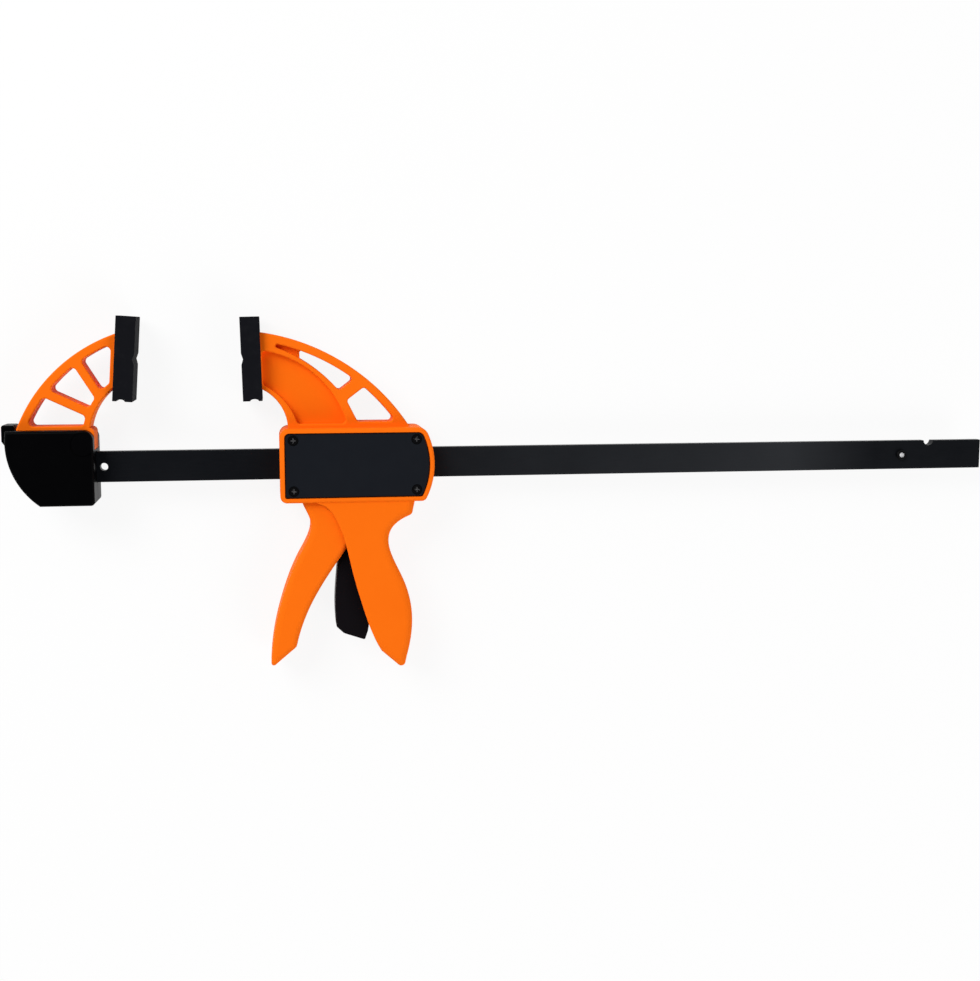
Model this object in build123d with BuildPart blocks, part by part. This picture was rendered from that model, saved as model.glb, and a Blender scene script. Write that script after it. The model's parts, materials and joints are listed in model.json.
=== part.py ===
"""Quick release bar clamp: a steel bar, a fixed jaw latched on one end and a sliding jaw with a pistol grip.

The clamp lies on its rear face. +X runs along the bar from the fixed jaw, +Y is the way the jaws point and
+Z is the front. Every view from the side is drawn on a jaw's own plane: x is measured from a line close to
that jaw's pad face, y from the bar's axis, and z from the clamp's mid-plane. Millimetres.
"""
import os
from math import cos, radians, sin, sqrt

from build123d import *

os.makedirs("parts", exist_ok=True)

# ------------------------------------------------------------------ clearances
slide_clearance = 0.3  # a part that slides on the bar, each side
running_clearance = 0.05  # radial, a lever on its pin
pressed_clearance = 0.02  # radial, a pin or screw held in its hole
loose_clearance = 0.4  # between parts that move past each other
seat_gap = 0.1  # a spring's end wire and what it bears on

# ------------------------------------------------------------------ bar
bar_height = 16.0
bar_thickness = 5.0
bar_length = 521.4
bar_edge_radius = 0.5
bar_hole_radius = 2.0
notch_radius = 2.8
notch_from_left_end = 21.3
notch_from_right_end = 31.2
hole_from_notch = 16.3

# tubular rivet whose heads stop the sliding jaw
stop_pin_bore_radius = 1.3
stop_pin_head_radius = 2.7
stop_pin_head_height = 1.6
stop_pin_chamfer = 0.4

# ------------------------------------------------------------------ pads and jaw arms
rest_opening = 51.5
pad_top = 77.0
pad_height = 43.4
pad_thickness = 10.0
pad_width = 24.0
pad_edge_radius = 1.2
pad_toe_in = {"fixed": 4.0, "moving": 1.4}
pad_forward = {"fixed": 2.7, "moving": 0.0}  # from a jaw's own plane's origin to the top of its pad face
groove_depth = 0.9
groove_half_width = 3.0
lip_slot_width = 4.4
lip_slot_depth = 1.1
lip_slot_from_face = 5.9
shoe_depth = 4.2
shoe_recess = 1.2
shoe_height = 36.6
shoe_width = 19.0
pocket_clearance = 0.3
arm_width = 16.0
arm_edge_radius = 1.0
window_rim_radius = 0.8

# ------------------------------------------------------------------ sliding jaw casing
casing_width = 30.0
casing_left = 19.2
casing_right = 100.0
bulge_radius = 39.8
casing_rim = 2.4
casing_ledge = 2.6
rim_radius = 1.4
cover_thickness = 2.0
cover_recess = 0.5
cover_gap = 0.4
cover_screw_x = (26.2, 90.5)
cover_screw_inset = 6.2

# screws
screw_radius = 1.5
screw_head_radius = 2.6
screw_head_height = 1.0
screw_head_gap = 0.2
screw_boss_radius = 3.3
cover_screw_length = 10.0
recess_length = 2.8
recess_width = 0.7
recess_depth = 0.7

# ------------------------------------------------------------------ drive and brake, inside the casing
trigger_pin_radius = 2.0
trigger_pin_lift = 0.9
trigger_pin_x = 34.5
cheek_radius = 3.2
cheek_width = 16.0
bar_side_gap = 0.7
pin_boss_radius = 3.6
nose_radius = 2.0
nose_x = 36.2
nose_drop = 1.0
drive_plate_thickness = 3.0
drive_plate_gap = 0.3
drive_plate_height = 23.2
drive_plate_width = 20.0
plate_corner_radius = 1.0
drive_rib_x = 57.0
brake_rib_x = 84.0
rib_thickness = 2.5
rib_drop = 3.5
brake_x = 66.5
brake_thickness = 3.0
brake_width = 16.0
brake_tilt = 5.0
brake_hole_clearance = 0.5
brake_tail = 7.0
tongue_below_bar = 2.6
tongue_width = 7.0
fulcrum_below_wall = 1.3
spring_wire_radius = 0.6
drive_spring_turns = 4
brake_spring_turns = 5

# ------------------------------------------------------------------ grips
handle_width = 28.0
handle_wall = 2.4
handle_edge_radius = 4.0
handle_reach = 109.2
handle_tip_radius = 2.2
trigger_gap = 0.6
trigger_wall = 3.5
trigger_front_wall = 4.0
trigger_root_drop = 5.5
cheek_root = 0.5
trigger_edge_radius = 3.0
lever_side_gap = 1.5
lever_head_gap = 2.9
lever_pin_radius = 1.25
lever_pin_length = 7.2

# ------------------------------------------------------------------ fixed jaw housing and latch
housing_width = 30.0
housing_right = -20.1
housing_top = 19.7
housing_bottom = -18.8
housing_wall = 2.5
housing_edge_radius = 1.5
housing_top_corner_radius = 5.0
housing_bottom_corner_radius = 2.0
housing_bow_center = (-23.4, 13.4)
housing_bow_radius = 40.0
socket_depth = 33.8
parting_gap = 0.15
housing_screws_at = ((-25.8, 13.2), (-26.5, -13.2), (-46.5, -13.0))
emboss_at = (-25.2, 12.6)
emboss_radius = 6.2
emboss_line = 0.4
emboss_depth = 0.3
housing_screw_reach = 11.5
latch_pin_at = (-47.0, 12.2)
latch_pin_radius = 1.5
latch_width = 8.0
latch_tab_width = 15.0
latch_tab_left = -66.0
latch_tab_top = 22.3
latch_spring_radius = 2.4
latch_spring_wire_radius = 0.3
latch_spring_turns = 4

# ------------------------------------------------------------------ derived sizes
bar_top = bar_height / 2
half_width = casing_width / 2
bar_left = housing_right - socket_depth
bar_right = bar_left + bar_length
left_notch_x = bar_left + notch_from_left_end
open_hole_x = left_notch_x + hole_from_notch
right_notch_x = bar_right - notch_from_right_end
stop_pin_x = right_notch_x - hole_from_notch
trigger_pin_y = bar_top + trigger_pin_lift + trigger_pin_radius
cavity_top = trigger_pin_y + cheek_radius + loose_clearance
casing_half_height = cavity_top + casing_rim + casing_ledge
bulge_center_x = casing_right - bulge_radius
cover_outer_z = half_width - cover_recess
cover_inner_z = cover_outer_z - cover_thickness
cover_screw_y = casing_half_height - cover_screw_inset
handle_slot_width = handle_width - 2 * handle_wall
trigger_width = handle_slot_width - 2 * trigger_gap
trigger_channel = trigger_width - 2 * trigger_wall
lever_width = trigger_channel - 2 * lever_side_gap
grip_depth = handle_reach - casing_half_height
spring_inner_radius = sqrt(bar_top**2 + (bar_thickness / 2) ** 2) + slide_clearance
spring_coil_radius = spring_inner_radius + spring_wire_radius
fulcrum_y = cavity_top - fulcrum_below_wall
nose_y = -bar_top - nose_drop

# The origin is under the middle of the whole clamp, on the surface it lies on.
overall_top = pad_top + pad_thickness * sin(radians(pad_toe_in["fixed"]))
origin_x = (latch_tab_left + bar_right) / 2
origin_y = (overall_top - handle_reach) / 2
fixed_side = Plane(origin=(-origin_x, -origin_y, half_width))
moving_side = Plane(
    origin=(pad_forward["fixed"] + rest_opening - pad_forward["moving"] - origin_x, -origin_y, half_width)
)


def across(side, x):
    """Plane square to the bar at station x of a jaw: its x is the height, its y the depth."""
    return Plane(origin=side.from_local_coords((x, 0, 0)), x_dir=(0, 1, 0), z_dir=(1, 0, 0))


def between(way, near, far):
    """Depths of a slab on the front (way 1) or rear (way -1) side, lowest first."""
    return sorted((way * near, way * far))


def block(side, corner, opposite, near, far, mode=Mode.ADD):
    """Block between two corners of the side view and two depths."""
    with BuildSketch(side.offset(near)) as outline:
        with Locations(((corner[0] + opposite[0]) / 2, (corner[1] + opposite[1]) / 2)):
            Rectangle(abs(opposite[0] - corner[0]), abs(opposite[1] - corner[1]))
    extrude(outline.sketch, amount=far - near, mode=mode)


def rods(side, places, radius, near, far, mode=Mode.ADD):
    """Round pins, bosses or holes across the clamp, between two depths."""
    with BuildSketch(side.offset(near)) as circles:
        with Locations(*places):
            Circle(radius)
    extrude(circles.sketch, amount=far - near, mode=mode)


def grip_outline(*points):
    """Side-view points of a grip, given as x and the percent of the way down from the casing to the handle's tip."""
    return [(x, -casing_half_height - percent / 100 * grip_depth) for x, percent in points]


def bar_passage(side, from_x, to_x, clearance):
    """Cut the slot that the bar slides through."""
    with BuildSketch(across(side, from_x)) as slot:
        Rectangle(bar_height + 2 * clearance, bar_thickness + 2 * clearance)
    extrude(slot.sketch, amount=to_x - from_x, mode=Mode.SUBTRACT)


def finish(piece, name):
    """Label a finished piece and write it."""
    piece.part.label = name
    export_step(piece.part, f"parts/{name}.step")


# ================================================================== bar and its stop
with BuildPart() as bar:
    with BuildSketch(across(fixed_side, bar_left)):
        RectangleRounded(bar_height, bar_thickness, bar_edge_radius)
    extrude(amount=bar_length)
    with BuildSketch(fixed_side):
        with Locations((left_notch_x, bar_top), (right_notch_x, bar_top)):
            Circle(notch_radius)
        with Locations((open_hole_x, 0), (stop_pin_x, 0)):
            Circle(bar_hole_radius)
    extrude(amount=bar_thickness, both=True, mode=Mode.SUBTRACT)
finish(bar, "bar")

with BuildPart() as stop_pin:
    pin_half = bar_thickness / 2 + stop_pin_head_height
    rods(fixed_side, [(stop_pin_x, 0)], bar_hole_radius - pressed_clearance, -pin_half, pin_half)
    for head_way in (1, -1):
        rods(fixed_side, [(stop_pin_x, 0)], stop_pin_head_radius, *between(head_way, bar_thickness / 2, pin_half))
    chamfer(stop_pin.edges().group_by(Axis.Z)[-1] + stop_pin.edges().group_by(Axis.Z)[0], stop_pin_chamfer)
    rods(fixed_side, [(stop_pin_x, 0)], stop_pin_bore_radius, -pin_half, pin_half, Mode.SUBTRACT)
finish(stop_pin, "stop_pin")


# ================================================================== pads and the shoes they push over
side_of = {"fixed": fixed_side, "moving": moving_side}
way_of = {"fixed": -1, "moving": 1}  # the way along the bar that leads from a pad's face into its jaw


def pad_point(jaw, inward, up):
    """Side-view place of a point given from the middle of a jaw's pad face."""
    lean, way = radians(pad_toe_in[jaw]), way_of[jaw]
    middle_x = pad_forward[jaw] + way * pad_height / 2 * sin(lean)
    middle_y = pad_top - pad_height / 2 * cos(lean)
    x = middle_x + way * (inward * cos(lean) - up * sin(lean))
    return x, middle_y + inward * sin(lean) + up * cos(lean)


def pad_side(jaw):
    """A jaw's pad plane: x runs from the pad face into the jaw, y up the face from its middle."""
    lean, way = radians(pad_toe_in[jaw]), way_of[jaw]
    middle = side_of[jaw].from_local_coords((*pad_point(jaw, 0, 0), 0))
    return Plane(origin=middle, x_dir=(way * cos(lean), sin(lean), 0), z_dir=(0, 0, way))


def make_pad(jaw):
    """Soft pad: a block with a groove for round work, a lip slot below and a pocket for the shoe."""
    face = pad_side(jaw)
    half = pad_height / 2
    pocket_depth = shoe_recess + shoe_depth + pocket_clearance
    with BuildPart() as pad:
        with BuildSketch(face):
            with Locations((pad_thickness / 2, 0)):
                Rectangle(pad_thickness, pad_height)
        extrude(amount=pad_width / 2, both=True)
        fillet(pad.edges(), pad_edge_radius)
        with BuildSketch(face):
            with BuildLine():
                Polyline(
                    (-1, groove_half_width),
                    (0, groove_half_width),
                    (groove_depth, 0),
                    (0, -groove_half_width),
                    (-1, -groove_half_width),
                    close=True,
                )
            make_face()
            with Locations((lip_slot_from_face, -half)):
                Ellipse(lip_slot_width / 2, lip_slot_depth)
        extrude(amount=pad_width, both=True, mode=Mode.SUBTRACT)
        with BuildSketch(face):
            with Locations((pad_thickness, 0)):
                Rectangle(2 * pocket_depth, shoe_height + 2 * pocket_clearance)
        extrude(amount=shoe_width / 2 + pocket_clearance, both=True, mode=Mode.SUBTRACT)
    return pad


def add_shoe(jaw):
    """Flat shoe at the end of a jaw arm, let into the back of the pad."""
    with BuildSketch(pad_side(jaw)) as shoe:
        with Locations((pad_thickness - shoe_recess - shoe_depth / 2, 0)):
            Rectangle(shoe_depth, shoe_height)
    extrude(shoe.sketch, amount=shoe_width / 2, both=True)


def edge_circle(jaw, pad_end, root_end, radius):
    """Centre and radius of the circle that a jaw arm's edge follows between two points of the side view."""
    along_x, along_y = root_end[0] - pad_end[0], root_end[1] - pad_end[1]
    chord = sqrt(along_x**2 + along_y**2)
    to_center = way_of[jaw] * sqrt(radius**2 - chord**2 / 4) / chord
    middle_x, middle_y = (pad_end[0] + root_end[0]) / 2, (pad_end[1] + root_end[1]) / 2
    return (middle_x + to_center * along_y, middle_y - to_center * along_x), radius


def arm_shape(jaw, outer, inner, root_y, pad_gap):
    """Side view of a jaw arm, inside the sketch it is called from.

    It lies between two edge circles, each a centre and a radius, above its root and behind the pad's back.
    """
    reach = 2 * outer[1]
    with Locations(outer[0]):
        Circle(outer[1])
    with Locations(inner[0]):
        Circle(inner[1], mode=Mode.SUBTRACT)
    with Locations((outer[0][0], root_y - reach / 2)):
        Rectangle(2 * reach, reach, mode=Mode.SUBTRACT)
    with Locations(pad_point(jaw, pad_thickness + pad_gap - reach, 0)):
        Rectangle(2 * reach, 2 * reach, rotation=way_of[jaw] * pad_toe_in[jaw], mode=Mode.SUBTRACT)


def face_edges(edges, width):
    """Those of the edges that lie in the front and rear faces of a part of a given width."""
    return [e for e in edges if abs(abs((e @ 0.5).Z - half_width) - width / 2) < 1e-3]


for jaw_name in ("fixed", "moving"):
    finish(make_pad(jaw_name), f"{jaw_name}_pad")


# ================================================================== fixed jaw
fixed_outer_ends = ((-10.0, 67.9), (-58.7, 19.7))  # an arm's edge behind its pad and at its root
fixed_outer_radius = 84.1
fixed_inner_ends = ((-8.0, 41.9), (-22.3, 19.7))
fixed_inner_radius = 32.6
fixed_outer_band = 4.3
fixed_inner_band = 3.4
fixed_ribs = (((-33.0, 33.3), -25.5), ((-23.3, 46.6), -58.5))  # a point on the rib's middle line, its slope
fixed_rib_width = 4.5
fixed_window_corner_radius = 2.2
window_corner_radius = 1.8
window_sill = 1.8
window_to_pad = 2.2
arm_root_depth = 4.0
core_gap = 0.25
least_corner_radius = 1.0
core_flank_bottom = 9.5
core_flank_depth = 4.0
core_flank_rise = 1.0
core_flank_radius = 2.5
latch_slot = ((-61.0, bar_top - notch_radius), (-28.6, 19.0))  # opposite corners
latch_pocket = ((latch_tab_left - 1, 7.6), (-58.6, latch_tab_top + 1))
flat_screw_seat = screw_head_height + screw_head_gap


def housing_shape(plane, inset):
    """Side view of the fixed jaw's housing, drawn inset from its outer wall."""
    bow_x, bow_y = housing_bow_center
    bow_radius = housing_bow_radius - inset
    top, bottom, right = housing_top - inset, housing_bottom + inset, housing_right - inset
    top_left = (bow_x - sqrt(bow_radius**2 - (top - bow_y) ** 2), top)
    bottom_left = (bow_x - sqrt(bow_radius**2 - (bottom - bow_y) ** 2), bottom)
    halfway = (bow_x - bow_radius * cos(radians(20)), bow_y - bow_radius * sin(radians(20)))
    with BuildSketch(plane) as housing_view:
        with BuildLine():
            Polyline(bottom_left, (right, bottom), (right, top), top_left)
            ThreePointArc(top_left, halfway, bottom_left)
        make_face()
        for corner, radius in (
            ((right, top), housing_top_corner_radius),
            ((right, bottom), housing_bottom_corner_radius),
        ):
            nearest = housing_view.vertices().sort_by_distance(corner)[0]
            fillet(nearest, max(radius - inset, least_corner_radius))
    return housing_view


with BuildPart() as fixed_jaw_arm:
    half_arm = arm_width / 2
    fixed_outer_edge = edge_circle("fixed", *fixed_outer_ends, fixed_outer_radius)
    fixed_inner_edge = edge_circle("fixed", *fixed_inner_ends, fixed_inner_radius)
    with BuildSketch(fixed_side.offset(-half_arm)):
        arm_shape("fixed", fixed_outer_edge, fixed_inner_edge, housing_top - arm_root_depth, -shoe_recess)
    extrude(amount=arm_width)
    curved_edges = [e for e in face_edges(fixed_jaw_arm.edges(), arm_width) if e.geom_type == GeomType.CIRCLE]
    fillet(curved_edges, arm_edge_radius)
    add_shoe("fixed")
    with BuildSketch(fixed_side.offset(-arm_width)) as fixed_windows:
        outer_limit = (fixed_outer_edge[0], fixed_outer_radius - fixed_outer_band)
        inner_limit = (fixed_inner_edge[0], fixed_inner_radius + fixed_inner_band)
        arm_shape("fixed", outer_limit, inner_limit, housing_top + window_sill, window_to_pad)
        for rib_point, rib_slope in fixed_ribs:
            with Locations(rib_point):
                Rectangle(2 * housing_bow_radius, fixed_rib_width, rotation=rib_slope, mode=Mode.SUBTRACT)
        fillet(fixed_windows.vertices(), fixed_window_corner_radius)
    extrude(amount=2 * arm_width, mode=Mode.SUBTRACT)
    fillet(face_edges(fixed_jaw_arm.edges(Select.LAST), arm_width), window_rim_radius)
    # core inside the housing, with a flank that shows beside the housing's upper corner
    core = housing_shape(fixed_side.offset(-half_arm), housing_wall + core_gap)
    extrude(core.sketch, amount=arm_width)
    with BuildSketch(fixed_side.offset(-half_arm)) as flank:
        flank_top = housing_top + core_flank_rise
        with Locations((housing_right - core_flank_depth / 2, (core_flank_bottom + flank_top) / 2)):
            Rectangle(core_flank_depth, flank_top - core_flank_bottom)
        fillet(flank.vertices().sort_by_distance((housing_right, flank_top))[0], core_flank_radius)
    extrude(flank.sketch, amount=arm_width)
    # latch slot, room for the thumb tab, bar socket and fastener holes
    half_slot = latch_width / 2 + loose_clearance
    block(fixed_side, *latch_slot, -half_slot, half_slot, Mode.SUBTRACT)
    block(fixed_side, *latch_pocket, -arm_width, arm_width, Mode.SUBTRACT)
    bar_passage(fixed_side, bar_left - slide_clearance, housing_right + 1, slide_clearance)
    pin_hole_radius = latch_pin_radius + pressed_clearance
    screw_hole_radius = screw_radius + running_clearance
    rods(fixed_side, [latch_pin_at], pin_hole_radius, -arm_width, arm_width, Mode.SUBTRACT)
    rods(fixed_side, housing_screws_at, screw_hole_radius, -arm_width, arm_width, Mode.SUBTRACT)
finish(fixed_jaw_arm, "fixed_jaw_arm")


def make_housing(way):
    """One half of the housing: way is 1 for the front half and -1 for the rear half."""
    half_housing = housing_width / 2
    inner_z = half_housing - housing_wall
    arm_room = arm_width / 2 + running_clearance
    tab_room = latch_tab_width / 2 + loose_clearance
    with BuildPart() as half:
        low, high = between(way, parting_gap, half_housing)
        outside = housing_shape(fixed_side.offset(low), 0)
        extrude(outside.sketch, amount=high - low)
        fillet(half.faces().sort_by(Axis.Z)[-1 if way > 0 else 0].edges(), housing_edge_radius)
        low, high = between(way, 0, inner_z)
        inside = housing_shape(fixed_side.offset(low), housing_wall)
        extrude(inside.sketch, amount=high - low, mode=Mode.SUBTRACT)
        # openings for the jaw arm, the core's flank, the thumb tab and the bar
        low, high = between(way, 0, arm_room)
        arm_opening = ((latch_pocket[1][0], housing_top - 2 * housing_wall), (housing_right + 1, housing_top + 1))
        block(fixed_side, *arm_opening, low, high, Mode.SUBTRACT)
        flank_opening = (
            (housing_right - 2 * housing_wall, core_flank_bottom - core_gap),
            (housing_right + 1, housing_top + 1),
        )
        block(fixed_side, *flank_opening, low, high, Mode.SUBTRACT)
        low, high = between(way, 0, tab_room)
        block(fixed_side, *latch_pocket, low, high, Mode.SUBTRACT)
        bar_passage(fixed_side, housing_right - 2 * housing_wall, housing_right + 1, slide_clearance)
        # bosses that bear on the core, and the screws' holes in them
        low, high = between(way, arm_room, inner_z)
        rods(fixed_side, housing_screws_at, screw_boss_radius, low, high)
        low, high = between(way, arm_room - 1, inner_z if way > 0 else half_housing + 1)
        rods(fixed_side, housing_screws_at, screw_radius + pressed_clearance, low, high, Mode.SUBTRACT)
        if way < 0:
            low, high = between(way, half_housing - flat_screw_seat, half_housing + 1)
            seat_radius = screw_head_radius + screw_head_gap
            rods(fixed_side, housing_screws_at, seat_radius, low, high, Mode.SUBTRACT)
        else:
            low, high = between(way, half_housing - emboss_depth, half_housing + 1)
            with BuildSketch(fixed_side.offset(low)):
                with Locations(emboss_at):
                    Circle(emboss_radius)
                    Circle(emboss_radius - emboss_line, mode=Mode.SUBTRACT)
            extrude(amount=high - low, mode=Mode.SUBTRACT)
    return half


front_housing = make_housing(1)
rear_housing = make_housing(-1)
finish(front_housing, "front_housing")
finish(rear_housing, "rear_housing")


# ================================================================== screws, latch pin and latch of the fixed jaw
def add_screws(side, places, way, seat, length):
    """Screws whose heads lie on the front (way 1) or rear (way -1), with a cross recess; seat is under the head."""
    top = seat + screw_head_height
    rods(side, places, screw_radius, *between(way, seat - length, seat))
    rods(side, places, screw_head_radius, *between(way, seat, top))
    low, high = between(way, top - recess_depth, top + 1)
    with BuildSketch(side.offset(low)) as recess:
        with Locations(*places):
            Rectangle(recess_length, recess_width)
            Rectangle(recess_width, recess_length)
    extrude(recess.sketch, amount=high - low, mode=Mode.SUBTRACT)


with BuildPart() as housing_screws:
    housing_seat = housing_width / 2 - flat_screw_seat
    add_screws(fixed_side, housing_screws_at, -1, housing_seat, housing_seat + housing_screw_reach)
finish(housing_screws, "housing_screws")

with BuildPart() as latch_pin:
    half_pin = housing_width / 2 - housing_wall - slide_clearance
    rods(fixed_side, [latch_pin_at], latch_pin_radius, -half_pin, half_pin)
    chamfer(latch_pin.edges().filter_by(GeomType.CIRCLE), 0.3)
finish(latch_pin, "latch_pin")

# The latch's tooth sits in the bar's notch; its tab is pressed down to lift the tooth.
latch_hub_radius = 3.3
latch_top = 12.4
latch_underside = ((-43.0, 9.0), (-47.0, 8.9), (-52.0, 9.4), (-55.0, 9.9), (-59.4, 10.8))
latch_tab = (
    (-64.0, 11.4),
    (latch_tab_left, 14.2),
    (latch_tab_left, latch_tab_top),
    (-59.4, latch_tab_top),
    (-59.4, 17.0),
)
latch_back = ((-58.0, 16.3), (-52.0, 15.0), latch_pin_at, (-42.0, latch_top))
latch_right = -29.6

with BuildPart() as latch_lever:
    half_latch = latch_width / 2
    with BuildSketch(fixed_side.offset(-half_latch)) as latch_view:
        Polygon(
            (latch_right, latch_underside[0][1]),
            *latch_underside,
            *latch_tab,
            *latch_back,
            (latch_right, latch_top),
            align=None,
        )
        fillet(latch_view.vertices().sort_by(Axis.X)[:3], 1.0)
        with Locations(latch_pin_at):
            Circle(latch_hub_radius)
        with Locations((left_notch_x, bar_top)):
            Circle(notch_radius - slide_clearance)
    extrude(amount=latch_width)
    # wide thumb tab
    with BuildSketch(fixed_side.offset(-latch_tab_width / 2)) as tab_view:
        Polygon(latch_underside[-1], *latch_tab, align=None)
        fillet(tab_view.vertices().group_by(Axis.Y)[-1], 1.2)
    extrude(amount=latch_tab_width)
    fillet([e for e in face_edges(latch_lever.edges(), latch_tab_width) if e.length > 4], 0.8)
    rods(
        fixed_side, [latch_pin_at], latch_pin_radius + running_clearance, -latch_width, latch_width, Mode.SUBTRACT
    )
finish(latch_lever, "latch_lever")


def coil_spring(start, radius, height, axis, turns, wire_radius):
    """Round-wire spring that winds from a start point along an axis."""
    path = Helix(pitch=height / turns, height=height, radius=radius, center=start, direction=axis)
    with BuildPart() as spring:
        with BuildSketch(Plane(origin=path @ 0, z_dir=path % 0)) as wire:
            Circle(wire_radius)
        sweep(wire.sketch, path=path, is_frenet=True)
    return spring


latch_spring_room = latch_slot[1][1] - latch_top - 2 * (seat_gap + latch_spring_wire_radius)
latch_spring_seat = (left_notch_x, latch_top + seat_gap + latch_spring_wire_radius, 0)
latch_spring = coil_spring(
    fixed_side.from_local_coords(latch_spring_seat),
    latch_spring_radius,
    latch_spring_room,
    (0, 1, 0),
    latch_spring_turns,
    latch_spring_wire_radius,
)
finish(latch_spring, "latch_spring")


# ================================================================== sliding jaw body
casing_corner_radii = {(-1, -1): 3.5, (-1, 1): 5.0, (1, 1): 6.0, (1, -1): 3.0}  # by the way along x and y
moving_outer_ends = ((11.2, 68.9), (87.5, 19.5))
moving_outer_radius = 110.0
moving_inner_ends = ((10.2, 39.9), (23.8, 19.5))
moving_inner_radius = 23.5
moving_arm_band = 4.3
pocket_outer_ends = ((10.5, 59.7), (54.3, 21.4))
pocket_outer_radius = 52.3
pocket_inner_ends = ((10.5, 42.25), (28.9, 21.4))
pocket_inner_radius = 33.0
pocket_floor = 21.4
pocket_to_pad = 0.5
pocket_web = 7.0
blade_window = ((18.2, 61.3), (33.5, 53.7), (50.6, 38.7))  # lower edge of the long window
blade_window_end = (58.8, 45.0)
blade_tip_radius = 0.8
blade_web_to = 30.4  # the long window is open from here on
foot_window = ((54.5, 33.6), (60.2, 22.3), (90.0, 22.3), (90.0, 60.6))
mouth = (29.3, 73.0)  # opening for the trigger and the lever in the bottom of the casing
mouth_depth = 5.5
handle_rim_radius = 0.8
cover_edge_chamfer = 0.3
cheek_gap = 0.4
stop_gap = 0.5
stop_width = 2.5
stop_height = 2.5

# handle seen from the side
handle_front = grip_outline(
    (38.0, 0.4),
    (45.4, 5.5),
    (49.1, 12.7),
    (52.4, 22.9),
    (54.4, 32.0),
    (57.1, 45.2),
    (60.4, 58.4),
    (64.5, 73.0),
    (71.5, 90.2),
)
handle_back = grip_outline(
    (84.9, 93.5),
    (87.2, 81.9),
    (87.8, 67.4),
    (83.5, 47.6),
    (77.3, 32.4),
    (75.6, 23.1),
    (77.0, 17.1),
    (80.2, 13.0),
    (84.3, 10.1),
)
handle_tip_x = 83.3
handle_tip_drop = 1.64  # from the rounded tip to the corner it is cut from
handle_shoulder = grip_outline((88.2, 8.1))[0]
handle_shoulder_lean = 2.4
handle_slot_floor = grip_outline(
    (73.0, 5.0),
    (71.0, 19.0),
    (72.2, 31.2),
    (77.8, 46.8),
    (82.4, 67.4),
    (82.3, 81.4),
    (79.2, 90.0),
)


def casing_shape(plane, inset):
    """Side view of the sliding jaw's casing, drawn inset from its outer wall."""
    left, half_height, radius = casing_left + inset, casing_half_height - inset, bulge_radius - inset
    right = bulge_center_x + sqrt(radius**2 - half_height**2)
    with BuildSketch(plane) as casing_view:
        with BuildLine():
            Polyline((right, -half_height), (left, -half_height), (left, half_height), (right, half_height))
            ThreePointArc((right, half_height), (bulge_center_x + radius, 0), (right, -half_height))
        make_face()
        for (way_x, way_y), corner_radius in casing_corner_radii.items():
            corner = (left if way_x < 0 else right, way_y * half_height)
            nearest = casing_view.vertices().sort_by_distance(corner)[0]
            fillet(nearest, max(corner_radius - inset, least_corner_radius))
    return casing_view


moving_outer_edge = edge_circle("moving", *moving_outer_ends, moving_outer_radius)
moving_inner_edge = edge_circle("moving", *moving_inner_ends, moving_inner_radius)
window_limit = moving_outer_radius - moving_arm_band

with BuildSketch() as long_window:
    with BuildLine():
        ThreePointArc(*blade_window)
        Polyline(blade_window[2], blade_window_end, (blade_window[0][0], 2 * pad_top), blade_window[0])
    make_face()
    with Locations(moving_outer_edge[0]):
        Circle(window_limit, mode=Mode.INTERSECT)
    fillet(long_window.vertices().sort_by(Axis.X)[:2], blade_tip_radius)
    fillet(long_window.vertices().sort_by(Axis.X)[-2:], window_corner_radius)

with BuildSketch() as through_window:
    add(long_window.sketch)
    with Locations((blade_web_to - casing_width, pad_top / 2)):
        Rectangle(2 * casing_width, 2 * pad_top, mode=Mode.SUBTRACT)
    fillet(through_window.vertices().sort_by(Axis.X)[:2], blade_tip_radius)

with BuildSketch() as short_window:
    Polygon(*foot_window, align=None)
    with Locations(moving_outer_edge[0]):
        Circle(window_limit, mode=Mode.INTERSECT)
    fillet(short_window.vertices(), window_corner_radius)

with BuildPart() as jaw_arm_blank:
    half_arm = arm_width / 2
    arm_root = casing_half_height - arm_root_depth
    with BuildSketch(moving_side.offset(-half_arm)):
        arm_shape("moving", moving_outer_edge, moving_inner_edge, arm_root, -shoe_recess)
    extrude(amount=arm_width)
    curved_edges = [e for e in face_edges(jaw_arm_blank.edges(), arm_width) if e.geom_type == GeomType.CIRCLE]
    fillet(curved_edges, arm_edge_radius)
    # open windows
    with BuildSketch(moving_side.offset(-arm_width)):
        add(through_window.sketch)
        add(short_window.sketch)
    extrude(amount=2 * arm_width, mode=Mode.SUBTRACT)
    # pocket and the closed end of the long window, cut from both faces down to a web
    for way in (1, -1):
        low, high = between(way, pocket_web / 2, arm_width)
        with BuildSketch(moving_side.offset(low)) as pocket:
            pocket_outer_edge = edge_circle("moving", *pocket_outer_ends, pocket_outer_radius)
            pocket_inner_edge = edge_circle("moving", *pocket_inner_ends, pocket_inner_radius)
            arm_shape("moving", pocket_outer_edge, pocket_inner_edge, pocket_floor, pocket_to_pad)
            fillet(pocket.vertices(), window_corner_radius)
            add(long_window.sketch)
        extrude(amount=high - low, mode=Mode.SUBTRACT)
    arm_sides = jaw_arm_blank.faces().group_by(Axis.Z)
    openings = [wire for side in (arm_sides[0], arm_sides[-1]) for face in side for wire in face.inner_wires()]
    fillet([edge for wire in openings for edge in wire.edges()], window_rim_radius)

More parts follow.
